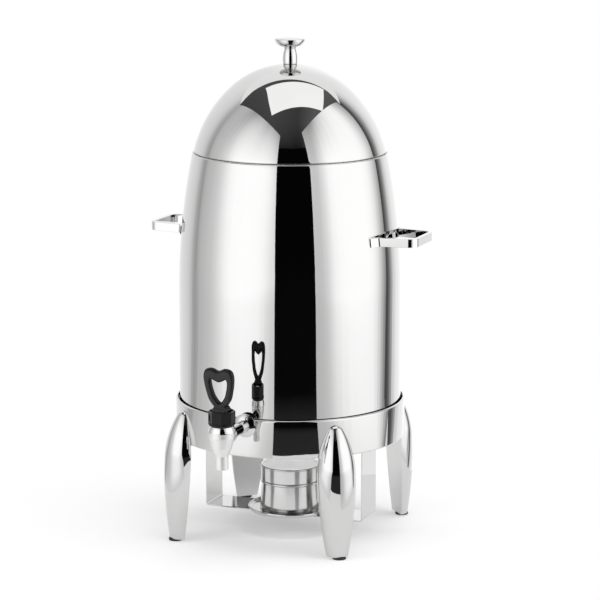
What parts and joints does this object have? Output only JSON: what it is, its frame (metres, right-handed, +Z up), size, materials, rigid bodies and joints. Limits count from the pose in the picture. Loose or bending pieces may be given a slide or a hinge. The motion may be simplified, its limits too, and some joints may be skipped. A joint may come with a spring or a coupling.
{
  "type": "footed coffee urn",
  "caption": "Tall domed coffee urn on spindle legs, with a lift-off lid, a lever tap, side handles and a fuel burner held on a strap below.",
  "frame": {"origin": "on the table, under the vessel's upright axis", "axes": "+Z up along the vessel's axis, -Y out of the tap, the two handles along X"},
  "size_m": [0.368, 0.385, 0.6429],
  "materials": {
    "polished_steel": "mirror polished stainless steel",
    "plain_steel": "plain mill finish stainless steel",
    "satin_chrome": "soft bright chrome on the tap's casting",
    "can_tin": "plain tinplate",
    "black_plastic": "satin moulded plastic",
    "black_rubber": "matt rubber",
    "pale_rubber": "food-grade silicone rubber"
  },
  "bodies": {
    "urn": {"base_ring": "polished_steel", "vessel_shell": "polished_steel", "vessel_base": "plain_steel", "vessel_rim": "plain_steel", "handle_left": "polished_steel", "handle_right": "polished_steel", "leg_front_left": "polished_steel", "leg_front_right": "polished_steel", "leg_rear_left": "polished_steel", "leg_rear_right": "polished_steel", "pad_front_left": "black_rubber", "pad_front_right": "black_rubber", "pad_rear_left": "black_rubber", "pad_rear_right": "black_rubber", "leg_screws": "plain_steel", "burner_strap": "polished_steel", "strap_screws": "plain_steel", "drip_tray": "polished_steel", "tap_body": "satin_chrome", "shank_rosette": "polished_steel", "shank_spacer": "black_rubber", "shank_seal": "black_rubber", "shank_nut": "plain_steel", "tap_bonnet": "black_plastic", "bonnet_seal": "black_rubber", "valve_spring": "plain_steel"},
    "lid": {"lid_dome": "polished_steel", "lid_rim": "plain_steel", "lid_knob": "polished_steel", "knob_washer": "plain_steel", "knob_screw": "plain_steel"},
    "burner": {"burner_cup": "polished_steel", "burner_collar": "polished_steel", "fuel_can": "can_tin"},
    "valve": {"valve_stem": "plain_steel", "lever_pin": "plain_steel", "valve_seat": "pale_rubber"},
    "lever": {"tap_lever": "black_plastic"}
  },
  "joints": [
    {"name": "lid_lift", "type": "slide", "parent": "urn", "child": "lid", "axis": [0, 0, 1], "range_m": [0, 0.2]},
    {"name": "burner_lift", "type": "slide", "parent": "urn", "child": "burner", "axis": [0, 0, 1], "range_m": [0, 0.03]},
    {"name": "valve_lift", "type": "slide", "parent": "urn", "child": "valve", "axis": [0, 0, 1], "range_m": [0, 0.004], "deforming": ["valve_spring"]},
    {"name": "lever_tilt", "type": "hinge", "parent": "valve", "child": "lever", "pos_m": [0, -0.22, 0.2014], "axis": [1, 0, 0], "range_deg": [0, 40], "stiffness_Nm_per_rad": 0.4, "springref_deg": -17.19}
  ],
  "couplings": [
    {"joint": "valve_lift", "follows": "lever_tilt", "m_per_rad": 0.00572}
  ]
}
